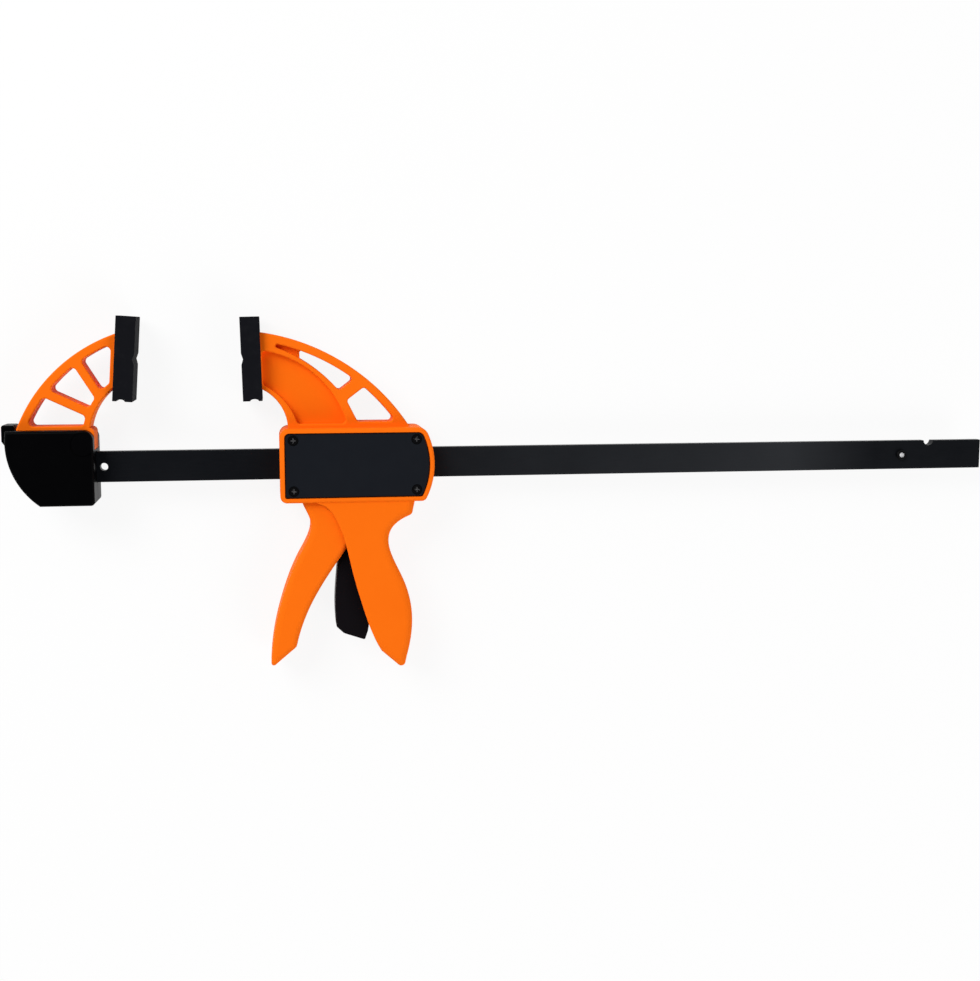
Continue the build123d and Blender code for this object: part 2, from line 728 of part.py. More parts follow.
with BuildPart() as handle_blank:
    with BuildSketch(moving_side.offset(-handle_width / 2)) as handle_view:
        tip_corner = (handle_tip_x, -handle_reach - handle_tip_drop)
        shoulder_top = (handle_shoulder[0] + handle_shoulder_lean, -casing_half_height + arm_root_depth)
        with BuildLine():
            Polyline(shoulder_top, (handle_front[0][0], shoulder_top[1]), handle_front[0])
            Spline(*handle_front)
            Polyline(handle_front[-1], tip_corner, handle_back[0])
            Spline(*handle_back)
            Polyline(handle_back[-1], handle_shoulder, shoulder_top)
        make_face()
        fillet(handle_view.vertices().sort_by_distance(tip_corner)[0], handle_tip_radius)
        fillet(handle_view.vertices().sort_by_distance(handle_shoulder)[0], handle_tip_radius)
    extrude(amount=handle_width)
    waist = moving_side.from_local_coords((handle_slot_floor[1][0], handle_back[-1][1], 0))
    below_waist = [e for e in face_edges(handle_blank.edges(), handle_width) if (e @ 0.5).Y < waist.Y]
    back_edges = [e for e in below_waist if (e @ 0.5).X > waist.X]
    fillet(back_edges, handle_edge_radius)
    front_edges = [
        e
        for e in face_edges(handle_blank.edges(), handle_width)
        if (e @ 0.5).X < waist.X and e.geom_type == GeomType.BSPLINE
    ]
    fillet(front_edges, handle_rim_radius)

with BuildPart() as body_frame:
    extrude(casing_shape(moving_side.offset(-half_width), 0).sketch, amount=casing_width)
    fillet(face_edges(body_frame.edges(), casing_width), rim_radius)
    add(jaw_arm_blank.part)
    add_shoe("moving")
    add(handle_blank.part)
    # mouth in the bottom of the casing and the slot down the handle
    half_slot = handle_slot_width / 2
    with BuildSketch(moving_side.offset(-half_slot)):
        with BuildLine():
            slot_top, slot_bottom = -casing_half_height + mouth_depth, handle_slot_floor[-1][1]
            Spline((mouth[1], slot_top), *handle_slot_floor)
            Polyline(handle_slot_floor[-1], (mouth[0], slot_bottom), (mouth[0], slot_top), (mouth[1], slot_top))
        make_face()
    extrude(amount=handle_slot_width, mode=Mode.SUBTRACT)
    # hollow inside, and a seat for the cover in each face
    hollow_inset = casing_rim + casing_ledge
    hollow = casing_shape(moving_side.offset(-half_width), hollow_inset)
    extrude(hollow.sketch, amount=casing_width, mode=Mode.SUBTRACT)
    for way in (1, -1):
        low, high = between(way, cover_inner_z, casing_width)
        cover_seat = casing_shape(moving_side.offset(low), casing_rim)
        extrude(cover_seat.sketch, amount=high - low, mode=Mode.SUBTRACT)
    # screw pillars, bosses for the trigger's pin, ribs behind the two springs, stops for the brake plate
    cover_screws_at = [(x, way * cover_screw_y) for x in cover_screw_x for way in (1, -1)]
    rods(moving_side, cover_screws_at, screw_boss_radius, -cover_inner_z, cover_inner_z)
    wall_inside = cavity_top + casing_ledge / 2
    for way in (1, -1):
        low, high = between(way, cheek_width / 2 + cheek_gap, cover_inner_z)
        rods(moving_side, [(trigger_pin_x, trigger_pin_y)], pin_boss_radius, low, high)
        boss_corner = (trigger_pin_x - pin_boss_radius, trigger_pin_y)
        block(moving_side, boss_corner, (trigger_pin_x + pin_boss_radius, wall_inside), low, high)
    for rib_x in (drive_rib_x, brake_rib_x):
        rib_corner = (rib_x, -bar_top - rib_drop)
        block(
            moving_side, rib_corner, (rib_x + rib_thickness, wall_inside), -cover_inner_z, cover_inner_z
        )
    for stop_x in (brake_x - brake_thickness / 2 - stop_gap - stop_width, brake_x + brake_thickness / 2 + stop_gap):
        stop_corner = (stop_x, cavity_top - stop_height)
        block(moving_side, stop_corner, (stop_x + stop_width, wall_inside), -cover_inner_z, cover_inner_z)
    # holes for the trigger's pin, the cover screws and the bar
    rods(
        moving_side,
        [(trigger_pin_x, trigger_pin_y)],
        trigger_pin_radius + pressed_clearance,
        -half_width,
        half_width,
        Mode.SUBTRACT,
    )
    rods(
        moving_side, cover_screws_at, screw_radius + pressed_clearance, -half_width, half_width, Mode.SUBTRACT
    )
    bar_passage(moving_side, casing_left - 1, casing_right + 1, slide_clearance)
finish(body_frame, "body_frame")


# ================================================================== covers, their screws and the trigger's pin
def make_cover(way):
    """Flat cover let into one face of the casing."""
    low, high = between(way, cover_inner_z, cover_outer_z)
    with BuildPart() as cover:
        outline = casing_shape(moving_side.offset(low), casing_rim + cover_gap)
        extrude(outline.sketch, amount=high - low)
        outer_face = cover.faces().sort_by(Axis.Z)[-1 if way > 0 else 0]
        chamfer(outer_face.edges(), cover_edge_chamfer)
        rods(moving_side, cover_screws_at, screw_radius + running_clearance, low - 1, high + 1, Mode.SUBTRACT)
        low, high = between(way, cover_outer_z - flat_screw_seat, cover_outer_z + 1)
        rods(moving_side, cover_screws_at, screw_head_radius + screw_head_gap, low, high, Mode.SUBTRACT)
    return cover


finish(make_cover(1), "front_cover")
finish(make_cover(-1), "rear_cover")

with BuildPart() as cover_screws:
    for way in (1, -1):
        add_screws(moving_side, cover_screws_at, way, cover_outer_z - flat_screw_seat, cover_screw_length)
finish(cover_screws, "cover_screws")

with BuildPart() as trigger_pin:
    half_pin = cover_inner_z - slide_clearance
    rods(moving_side, [(trigger_pin_x, trigger_pin_y)], trigger_pin_radius, -half_pin, half_pin)
    chamfer(trigger_pin.edges().filter_by(GeomType.CIRCLE), 0.3)
finish(trigger_pin, "trigger_pin")


# ================================================================== trigger
trigger_root_y = -bar_top - trigger_root_drop
trigger_root_front = (30.5, trigger_root_y)
trigger_root_back = (37.0, trigger_root_y)
trigger_front = grip_outline(
    (12.9, 99.1),
    (14.9, 77.5),
    (19.2, 58.1),
    (28.4, 32.4),
    (33.7, 20.8),
    (34.9, 15.2),
    (34.1, 9.3),
    (31.0, 1.7),
)
trigger_throat = grip_outline((37.5, -1.7), (46.0, 6.1), (51.0, 15.1), (54.0, 24.0))
trigger_back = grip_outline(
    (53.6, 28.0),
    (48.4, 36.1),
    (41.5, 47.6),
    (34.5, 61.2),
    (28.9, 76.4),
    (26.5, 86.4),
)
trigger_tip = trigger_front[0]
trigger_tip_radius = 1.3
trigger_heel_radius = 3.0
channel_foot = grip_outline((18.0, 89.3))[0]

with BuildPart() as trigger:
    half_trigger = trigger_width / 2
    with BuildSketch(moving_side.offset(-half_trigger)) as trigger_view:
        with BuildLine():
            Spline(*trigger_front, trigger_root_front)
            Polyline(trigger_root_front, trigger_root_back, *trigger_throat, trigger_back[0])
            Spline(*trigger_back)
            Line(trigger_back[-1], trigger_tip)
        make_face()
        fillet(trigger_view.vertices().sort_by_distance(trigger_back[-1])[0], trigger_heel_radius)
        fillet(trigger_view.vertices().sort_by_distance(trigger_tip)[0], trigger_tip_radius)
    extrude(amount=trigger_width)
    rim_splines = [e for e in face_edges(trigger.edges(), trigger_width) if e.geom_type == GeomType.BSPLINE]
    longest = ShapeList(rim_splines).sort_by(Edge.length)[-2:]
    fillet(longest, trigger_edge_radius)
    # channel down the back, which the release lever lies in
    with BuildSketch(moving_side.offset(-trigger_channel / 2)):
        channel_top = trigger_root_y - trigger_wall
        channel_front = [(x + trigger_front_wall, y) for x, y in trigger_front[1:]]
        channel_start = (trigger_root_front[0] + trigger_front_wall, channel_top)
        below, behind = trigger_tip[1] - 1, trigger_throat[-1][0] + 1
        with BuildLine():
            Spline(channel_foot, *channel_front, channel_start)
            Polyline(channel_start, (behind, channel_top), (behind, below), (channel_foot[0], below), channel_foot)
        make_face()
    extrude(amount=trigger_channel, mode=Mode.SUBTRACT)
    # cheeks that straddle the bar up to the pivot, each with a nose that pushes the drive plates
    for way in (1, -1):
        low, high = between(way, bar_thickness / 2 + bar_side_gap, cheek_width / 2)
        with BuildSketch(moving_side.offset(low)):
            Polygon(
                (trigger_pin_x - cheek_radius, trigger_pin_y),
                (trigger_root_front[0], trigger_root_y - cheek_root),
                (trigger_root_back[0], trigger_root_y - cheek_root),
                (nose_x + nose_radius / 2, nose_y),
                (trigger_pin_x + cheek_radius, trigger_pin_y),
                align=None,
            )
            with Locations((trigger_pin_x, trigger_pin_y)):
                Circle(cheek_radius)
            with Locations((nose_x, nose_y)):
                Circle(nose_radius)
        extrude(amount=high - low)
    rods(
        moving_side,
        [(trigger_pin_x, trigger_pin_y)],
        trigger_pin_radius + running_clearance,
        -cheek_width,
        cheek_width,
        Mode.SUBTRACT,
    )
finish(trigger, "trigger")


# ================================================================== drive plates, brake plate and springs
def make_drive_plate(left_x):
    """Steel plate that tips and grips the bar when the trigger pushes it."""
    with BuildPart() as plate:
        with BuildSketch(across(moving_side, left_x)):
            RectangleRounded(drive_plate_height, drive_plate_width, plate_corner_radius)
            Rectangle(
                bar_height + 2 * slide_clearance, bar_thickness + 2 * slide_clearance, mode=Mode.SUBTRACT
            )
        extrude(amount=drive_plate_thickness)
    return plate


first_plate_x = nose_x + nose_radius + drive_plate_gap
second_plate_x = first_plate_x + drive_plate_thickness + drive_plate_gap
plates_right = second_plate_x + drive_plate_thickness
finish(make_drive_plate(first_plate_x), "drive_plate_1")
finish(make_drive_plate(second_plate_x), "drive_plate_2")


def spring_on_bar(from_x, to_x, turns):
    """Spring wound round the bar, its wire ends just clear of what it bears on."""
    end_gap = seat_gap + spring_wire_radius
    start = moving_side.from_local_coords((from_x + end_gap, 0, 0))
    room = to_x - from_x - 2 * end_gap
    return coil_spring(start, spring_coil_radius, room, (1, 0, 0), turns, spring_wire_radius)


finish(spring_on_bar(plates_right, drive_rib_x, drive_spring_turns), "drive_spring")
finish(spring_on_bar(brake_x + brake_thickness / 2, brake_rib_x, brake_spring_turns), "brake_spring")

# The brake plate leans about its fulcrum, so its own plane has x up the plate and z square to it.
tilt = radians(brake_tilt)
brake_face = Plane(
    origin=moving_side.from_local_coords((brake_x, fulcrum_y, 0)),
    x_dir=(sin(tilt), cos(tilt), 0),
    z_dir=(cos(tilt), -sin(tilt), 0),
)
plate_top = cavity_top - fulcrum_y - stop_gap
tongue_root = -fulcrum_y - bar_top - tongue_below_bar
tongue_end = -fulcrum_y - bar_top - brake_tail
lever_pin_up = (tongue_root + tongue_end) / 2


def tongue_outline(clearance):
    """The brake plate's tongue, inside the sketch it is called from."""
    with Locations(((tongue_root + tongue_end) / 2, 0)):
        Rectangle(tongue_root - tongue_end + 2 * clearance, tongue_width + 2 * clearance)


with BuildPart() as brake_plate:
    with BuildSketch(brake_face.offset(-brake_thickness / 2)):
        with Locations(((plate_top + tongue_root) / 2, 0)):
            RectangleRounded(plate_top - tongue_root, brake_width, plate_corner_radius)
        tongue_outline(0)
        with Locations(((tongue_root + plate_top) / 2, 0)):
            Rectangle(plate_corner_radius, plate_corner_radius)
        with Locations((-fulcrum_y / cos(tilt), 0)):
            Rectangle(
                bar_height + 2 * brake_hole_clearance, bar_thickness + 2 * slide_clearance, mode=Mode.SUBTRACT
            )
        with Locations((lever_pin_up, 0)):
            Circle(lever_pin_radius + pressed_clearance, mode=Mode.SUBTRACT)
    extrude(amount=brake_thickness)
finish(brake_plate, "brake_plate")


# ================================================================== release lever and its pin
lever_head = (60.5, 68.5)
lever_front = grip_outline(
    (lever_head[0], -0.5),
    (58.3, 8.4),
    (53.8, 25.1),
    (49.4, 35.1),
    (48.3, 42.9),
    (47.2, 60.8),
    (47.8, 75.9),
)
lever_foot = grip_outline((51.4, 79.7), (62.8, 84.1))
lever_back = grip_outline(
    (64.6, 78.6),
    (66.0, 61.9),
    (65.5, 42.9),
    (64.8, 28.4),
    (66.5, 11.7),
    (lever_head[1], 0.5),
)
lever_heel_radius = 1.5
lever_toe_radius = 0.9
lever_edge_radius = 1.0

with BuildPart() as release_lever:
    half_lever = lever_width / 2
    lever_top = -bar_top - lever_head_gap
    with BuildSketch(moving_side.offset(-half_lever)) as lever_view:
        with BuildLine():
            Polyline(lever_back[-1], (lever_head[1], lever_top), (lever_head[0], lever_top), lever_front[0])
            Spline(*lever_front)
            Polyline(lever_front[-1], *lever_foot, lever_back[0])
            Spline(*lever_back)
        make_face()
        fillet(lever_view.vertices().sort_by_distance(lever_front[-1])[0], lever_heel_radius)
        fillet(lever_view.vertices().sort_by_distance(lever_foot[1])[0], lever_toe_radius)
    extrude(amount=lever_width)
    rim_splines = [e for e in face_edges(release_lever.edges(), lever_width) if e.geom_type == GeomType.BSPLINE]
    fillet(rim_splines, lever_edge_radius)
    with BuildSketch(brake_face.offset(-brake_thickness / 2 - pressed_clearance)):
        tongue_outline(pressed_clearance)
        with Locations((tongue_root, 0)):
            Rectangle(lever_head_gap, tongue_width + 2 * pressed_clearance)
    extrude(amount=brake_thickness + 2 * pressed_clearance, mode=Mode.SUBTRACT)
    with BuildSketch(brake_face.offset(-lever_width)):
        with Locations((lever_pin_up, 0)):
            Circle(lever_pin_radius + pressed_clearance)
    extrude(amount=2 * lever_width, mode=Mode.SUBTRACT)
finish(release_lever, "release_lever")

with BuildPart() as lever_pin:
    with BuildSketch(brake_face):
        with Locations((lever_pin_up, 0)):
            Circle(lever_pin_radius)
    extrude(amount=lever_pin_length / 2, both=True)
    chamfer(lever_pin.edges().filter_by(GeomType.CIRCLE), 0.2)
finish(lever_pin, "lever_pin")
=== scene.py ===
"""Quick release bar clamp: finishes, moulded rubber pads, copies of the springs, camera, floor and lights."""
import json
from math import cos, pi, radians, sin

import bmesh
import bpy
from mathutils import Matrix, Vector


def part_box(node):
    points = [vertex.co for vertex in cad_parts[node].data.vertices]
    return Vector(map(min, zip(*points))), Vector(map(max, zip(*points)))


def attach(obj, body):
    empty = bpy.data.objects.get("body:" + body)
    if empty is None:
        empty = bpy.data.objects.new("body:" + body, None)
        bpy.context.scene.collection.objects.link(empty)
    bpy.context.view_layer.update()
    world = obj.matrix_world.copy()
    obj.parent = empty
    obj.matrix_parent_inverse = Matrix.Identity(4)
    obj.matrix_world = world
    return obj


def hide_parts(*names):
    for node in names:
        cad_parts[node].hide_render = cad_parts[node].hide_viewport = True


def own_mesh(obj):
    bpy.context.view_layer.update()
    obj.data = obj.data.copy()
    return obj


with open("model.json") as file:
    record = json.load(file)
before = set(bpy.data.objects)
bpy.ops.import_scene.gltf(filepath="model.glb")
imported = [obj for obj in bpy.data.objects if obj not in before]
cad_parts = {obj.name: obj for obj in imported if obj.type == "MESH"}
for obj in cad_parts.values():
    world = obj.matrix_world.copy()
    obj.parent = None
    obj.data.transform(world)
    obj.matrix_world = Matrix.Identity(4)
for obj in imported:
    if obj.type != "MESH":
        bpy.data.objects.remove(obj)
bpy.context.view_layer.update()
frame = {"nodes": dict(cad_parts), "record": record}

MM = 0.001
TINY = 1e-6  # nearer than this, two places are the same
MIDDLE_DEPTH = 15 * MM  # the clamp's mid-plane


# ---------------------------------------------------------------- shader maths
class Socket:
    """An output socket that Python operators add Math nodes to."""

    def __init__(self, finish, link):
        self.finish = finish
        self.link = link

    def maths(self, operation, *values):
        return self.finish.node("ShaderNodeMath", {"operation": operation}, *values)

    def __add__(self, other):
        return self.maths("ADD", self, other)

    def __radd__(self, other):
        return self.maths("ADD", other, self)

    def __sub__(self, other):
        return self.maths("SUBTRACT", self, other)

    def __rsub__(self, other):
        return self.maths("SUBTRACT", other, self)

    def __mul__(self, other):
        return self.maths("MULTIPLY", self, other)

    def __rmul__(self, other):
        return self.maths("MULTIPLY", other, self)

    def __truediv__(self, other):
        return self.maths("DIVIDE", self, other)

    def __abs__(self):
        return self.maths("ABSOLUTE", self)

    def __lt__(self, other):
        return self.maths("LESS_THAN", self, other)


class Finish:
    """A material, or the studio's world, and the nodes it is built from."""

    def __init__(self, name, kind="materials"):
        self.made = getattr(bpy.data, kind).new(name)
        self.made.use_nodes = True
        self.tree = self.made.node_tree
        self.shader = self.tree.nodes["Background" if kind == "worlds" else "Principled BSDF"]

    def feed(self, socket, value):
        """Give a socket a link from another node, or a plain value."""
        if isinstance(value, Socket):
            self.tree.links.new(value.link, socket)
        elif isinstance(value, bpy.types.NodeSocket):
            self.tree.links.new(value, socket)
        elif hasattr(socket.default_value, "__len__") and len(value) == 3 and len(socket.default_value) == 4:
            socket.default_value = (*value, 1.0)
        else:
            socket.default_value = value

    def node(self, kind, settings=None, *values, output=0, **named):
        """Add a node: settings first, then sockets by position or by name; returns one output."""
        made = self.tree.nodes.new(kind)
        for key, value in (settings or {}).items():
            if key == "stops":
                self.set_stops(made.color_ramp, value)
            else:
                setattr(made, key, value)
        for index, value in enumerate(values):
            self.feed(made.inputs[index], value)
        for key, value in named.items():
            self.feed(made.inputs[key.replace("_", " ")], value)
        return Socket(self, made.outputs[output])

    @staticmethod
    def set_stops(ramp, stops):
        """Grey levels of a ramp, as pairs of position and level."""
        for element, (position, level) in zip(ramp.elements, (stops[0], stops[-1])):
            element.position, element.color = position, (level, level, level, 1)
        for position, level in stops[1:-1]:
            ramp.elements.new(position).color = (level, level, level, 1)

    def place(self, stretch=(1, 1, 1)):
        """Object coordinates, stretched along each axis."""
        here = self.node("ShaderNodeTexCoord", output=3)
        return self.node("ShaderNodeMapping", {"vector_type": "POINT"}, Vector=here, Scale=stretch)

    def noise(self, size_mm, detail=2.0, rough=0.5, stretch=(1, 1, 1)):
        """Noise whose features are about a size in millimetres."""
        return self.node(
            "ShaderNodeTexNoise",
            {"noise_dimensions": "3D"},
            Vector=self.place(stretch),
            Scale=1.0 / (size_mm * MM),
            Detail=detail,
            Roughness=rough,
        )

    def mix(self, factor, first, second):
        """Blend two colours."""
        made = self.tree.nodes.new("ShaderNodeMix")
        made.data_type = "RGBA"
        self.feed(made.inputs["Factor"], factor)
        self.feed(made.inputs[6], first)
        self.feed(made.inputs[7], second)
        return Socket(self, made.outputs[2])

    def bump(self, height, depth_mm):
        return self.node("ShaderNodeBump", {}, Height=height, Distance=depth_mm * MM, Strength=1.0)

    def surface(self, color, roughness, normal=None, metallic=0.0, **plain):
        """Join everything to the shader."""
        self.feed(self.shader.inputs["Base Color"], color)
        self.feed(self.shader.inputs["Roughness"], roughness)
        self.feed(self.shader.inputs["Metallic"], metallic)
        if normal is not None:
            self.feed(self.shader.inputs["Normal"], normal)
        for key, value in plain.items():
            self.feed(self.shader.inputs[key.replace("_", " ")], value)
        return self.made


# ---------------------------------------------------------------- finishes
MOULD_GRAIN_DEPTH, STEEL_LINE_DEPTH, GROUND_LINE_DEPTH, RUBBER_PIT_DEPTH = 0.006, 0.006, 0.004, 0.02  # mm
RECESS_STARTS = 14.15 * MM  # from the mid-plane, just below the screws' head faces
BORE_RADIUS = 1.35 * MM  # of the tubular rivet
SHEEN_ALONG_BAR = ((0.3, 0.0), (0.5, 0.4), (0.66, 0.6), (0.78, 1.0), (0.88, 0.0))  # painted sheen: how much lighter the bar is painted, along its length
SCUFFED_PART = ((0.5, 0.0), (0.72, 1.0))  # of a noise over the rubber
FASTENER_BLACK, BARE_STEEL, BRIGHT_BORE = (0.0015, 0.0015, 0.002), (0.45, 0.45, 0.46), (0.94, 0.94, 0.95)


def moulded_plastic(name, color, shade, rough, gloss, grain_mm=0.35):
    """Injection-moulded plastic: a fine spark-eroded grain, faint flow marks and slightly uneven gloss."""
    finish = Finish(name)
    flow = finish.noise(38, detail=3.0)
    grain = finish.noise(grain_mm, detail=2.0, rough=0.6)
    handling = finish.noise(9, detail=4.0, rough=0.65)
    tint = finish.mix(flow * 0.6 + handling * 0.25, color, shade)
    roughness = handling * 0.1 + grain * 0.06 + (rough - 0.08)
    relief = finish.bump(grain + flow * 0.5, MOULD_GRAIN_DEPTH)
    return finish.surface(tint, roughness, relief, Specular_IOR_Level=gloss)


def blackened_steel(name, color, shade, rough, metallic, gloss):
    """Black oxide on drawn steel: fine lines along the bar, uneven patches, and a painted sheen that makes a
    stretch of the bar lighter.
    """
    finish = Finish(name)
    low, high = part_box("bar")
    along = finish.node("ShaderNodeSeparateXYZ", {}, finish.place())
    # painted sheen: the bar is painted lighter from a third of its length, most at three quarters, then dark
    # again near its end
    painted_sheen = finish.node("ShaderNodeValToRGB", {"stops": SHEEN_ALONG_BAR}, (along - low.x) / (high.x - low.x))
    lines = finish.noise(0.5, detail=3.0, rough=0.7, stretch=(0.04, 1, 1))
    patches = finish.noise(24, detail=4.0, rough=0.6)
    tint = finish.mix(lines * 0.12 + patches * 0.12 + painted_sheen * 0.7, color, shade)
    roughness = lines * 0.14 + patches * 0.12 + (rough - 0.12)
    relief = finish.bump(lines, STEEL_LINE_DEPTH)
    return finish.surface(tint, roughness, relief, metallic=metallic, Specular_IOR_Level=gloss)


def worn_fastener(name, color, bare, worn_area):
    """Black fastener, bright where its coating is worn off; a function of the finish says where."""
    finish = Finish(name)
    scratches = finish.noise(0.3, detail=3.0, rough=0.7)
    worn = worn_area(finish)
    tint = finish.mix(worn * (scratches * 0.6 + 0.6), color, bare)
    roughness = scratches * 0.1 + (0.42 - worn * 0.1)
    return finish.surface(tint, roughness, metallic=worn, Specular_IOR_Level=0.08)


def screw_recesses(finish):
    """Inside the screws' cross recesses, at the front and the rear."""
    height = finish.node("ShaderNodeSeparateXYZ", {}, finish.place(), output=2)
    return abs(height - MIDDLE_DEPTH) < RECESS_STARTS


def rivet_bore(finish):
    """Inside the tubular rivet's bore."""
    low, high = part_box("stop_pin")
    middle = (low + high) / 2
    across = finish.node("ShaderNodeVectorMath", {"operation": "MULTIPLY"}, finish.place(), (1, 1, 0))
    axis = (*middle.xy, 0)
    from_axis = finish.node("ShaderNodeVectorMath", {"operation": "DISTANCE"}, across, axis, output=1)
    return from_axis < BORE_RADIUS


def bright_steel(name, color, rough):
    """Ground or plated steel with fine uneven lines."""
    finish = Finish(name)
    lines = finish.noise(0.4, detail=3.0, rough=0.7, stretch=(1, 0.08, 1))
    tint = finish.mix(lines, color, [part * 0.72 for part in color])
    relief = finish.bump(lines, GROUND_LINE_DEPTH)
    return finish.surface(tint, lines * 0.2 + (rough - 0.1), relief, metallic=1.0)


def moulded_rubber(name, color, shade):
    """Soft rubber: matt, with a fine pitted skin and paler scuffs."""
    finish = Finish(name)
    pits = finish.noise(0.5, detail=3.0, rough=0.7)
    rubbing = finish.noise(5, detail=4.0, rough=0.7)
    scuffs = finish.node("ShaderNodeValToRGB", {"stops": SCUFFED_PART}, rubbing)
    tint = finish.mix(pits * 0.4 + scuffs * 0.35, color, shade)
    roughness = 0.86 - scuffs * 0.1 + pits * 0.06
    return finish.surface(tint, roughness, finish.bump(pits, RUBBER_PIT_DEPTH), Specular_IOR_Level=0.1)


finishes = {
    "orange_plastic": moulded_plastic(
        "orange_nylon", color=(0.97, 0.172, 0.0065), shade=(0.9, 0.142, 0.0045), rough=0.46, gloss=0.01
    ),
    "black_plastic": moulded_plastic(
        "black_nylon", color=(0.0008, 0.0008, 0.001), shade=(0.0016, 0.0016, 0.002), rough=0.36, gloss=0.03
    ),
    "lever_plastic": moulded_plastic(
        "lever_nylon", color=(0.0046, 0.0036, 0.0048), shade=(0.0056, 0.0044, 0.0056), rough=0.4, gloss=0.06
    ),
    "cover_plastic": moulded_plastic(
        "cover_satin",
        color=(0.0058, 0.0073, 0.0108),
        shade=(0.0072, 0.0088, 0.0125),
        rough=0.4,
        gloss=0.18,
        grain_mm=0.25,
    ),
    "bar_steel": blackened_steel(
        "bar_black_oxide",
        color=(0.0025, 0.0031, 0.0046),
        # the lighter colour of the patches and of the painted sheen
        shade=(0.029, 0.031, 0.035),
        rough=0.38,
        metallic=0.1,
        gloss=0.08,
    ),
    "screw_steel": worn_fastener("worn_screws", FASTENER_BLACK, BARE_STEEL, screw_recesses),
    "rivet_steel": worn_fastener("worn_rivet", FASTENER_BLACK, BRIGHT_BORE, rivet_bore),
    "plate_steel": bright_steel("ground_steel", color=(0.42, 0.42, 0.43), rough=0.38),
    "spring_steel": bright_steel("spring_wire", color=(0.32, 0.32, 0.33), rough=0.34),
    "pad_rubber": moulded_rubber(
        "black_rubber", color=(0.003, 0.0032, 0.0052), shade=(0.0065, 0.0068, 0.009)
    ),
}

finish_of = {item["node"]: item["material_slot"] for item in frame["record"]["subparts"]}
finish_of.update(stop_pin="rivet_steel", release_lever="lever_plastic")
for node_name, node_object in frame["nodes"].items():
    node_object.data.materials.clear()
    node_object.data.materials.append(finishes[finish_of[node_name]])


def stand_in(name, shape, node, slot, body):
    """Make a shape the piece that stands for a node, with its slot's finish, and let it ride on a body."""
    mesh = bpy.data.meshes.new(name)
    shape.to_mesh(mesh)
    shape.free()
    piece = bpy.data.objects.new(name, mesh)
    bpy.context.scene.collection.objects.link(piece)
    mesh.materials.append(finishes[slot])
    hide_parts(node)
    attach(piece, body)
    return piece


# ---------------------------------------------------------------- rubber pads
# a pad is made lying round the origin: work face at -X, shoe at +X, height along Y
PAD_THICKNESS, PAD_HEIGHT, PAD_WIDTH = 10.0 * MM, 43.4 * MM, 24.0 * MM
HALF_THICK, HALF_HIGH, HALF_WIDE = PAD_THICKNESS / 2, PAD_HEIGHT / 2, PAD_WIDTH / 2
GROOVE_DEPTH, GROOVE_HALF = 0.9 * MM, 3.0 * MM
LIP_DEPTH, LIP_HALF, LIP_FROM_FACE, LIP_STEPS = 1.1 * MM, 2.2 * MM, 5.9 * MM, 12
POCKET_DEPTH, POCKET_HALF_HEIGHT, POCKET_HALF_WIDTH = 5.7 * MM, 18.6 * MM, 9.8 * MM
RIB_PITCH, RIB_DEPTH = 1.3 * MM, 0.22 * MM
PAD_EDGE = 0.9 * MM
FIXED_PAD_LEAN, MOVING_PAD_LEAN = radians(-4.0), radians(1.4)


def cut(shape, place, normal):
    """Add an edge loop where a plane crosses the shape."""
    everything = shape.verts[:] + shape.edges[:] + shape.faces[:]
    bmesh.ops.bisect_plane(shape, geom=everything, dist=TINY / 10, plane_co=place, plane_no=normal)


def grown_verts(grown):
    """The vertices that an extrusion added."""
    return [item for item in grown["geom"] if isinstance(item, bmesh.types.BMVert)]


def outer_planes(vert):
    """In how many of the pad's four outer planes a vertex lies."""
    return (abs(abs(vert.co.x) - HALF_THICK) < TINY) + (abs(abs(vert.co.y) - HALF_HIGH) < TINY)


def is_rounded(edge):
    """Corners across the width lie in two outer planes, and rims in one; the grooves' edges stay crisp."""
    first, last = edge.verts
    across_width = abs(first.co.z - last.co.z) > TINY
    return min(outer_planes(first), outer_planes(last)) >= (2 if across_width else 1)


def pad_blank():
    """Rounded block with a V groove across its work face and an arched slot in its lower lip."""
    lip_x = LIP_FROM_FACE - HALF_THICK
    arch = [pi * step / LIP_STEPS for step in range(LIP_STEPS + 1)]
    outline = [
        (HALF_THICK, HALF_HIGH),
        (-HALF_THICK, HALF_HIGH),
        (-HALF_THICK, GROOVE_HALF),
        (-HALF_THICK + GROOVE_DEPTH, 0),
        (-HALF_THICK, -GROOVE_HALF),
        (-HALF_THICK, -HALF_HIGH),
        *((lip_x - LIP_HALF * cos(turn), LIP_DEPTH * sin(turn) - HALF_HIGH) for turn in arch),
        (HALF_THICK, -HALF_HIGH),
    ]
    shape = bmesh.new()
    side = shape.faces.new([shape.verts.new((x, y, -HALF_WIDE)) for x, y in outline])
    grown = bmesh.ops.extrude_face_region(shape, geom=[side])
    bmesh.ops.translate(shape, vec=(0, 0, PAD_WIDTH), verts=grown_verts(grown))
    bmesh.ops.recalc_face_normals(shape, faces=shape.faces)
    bmesh.ops.bevel(
        shape,
        geom=[edge for edge in shape.edges if is_rounded(edge)],
        offset=PAD_EDGE,
        segments=4,
        profile=0.5,
        affect="EDGES",
        material=-1,
        clamp_overlap=True,
    )
    return shape


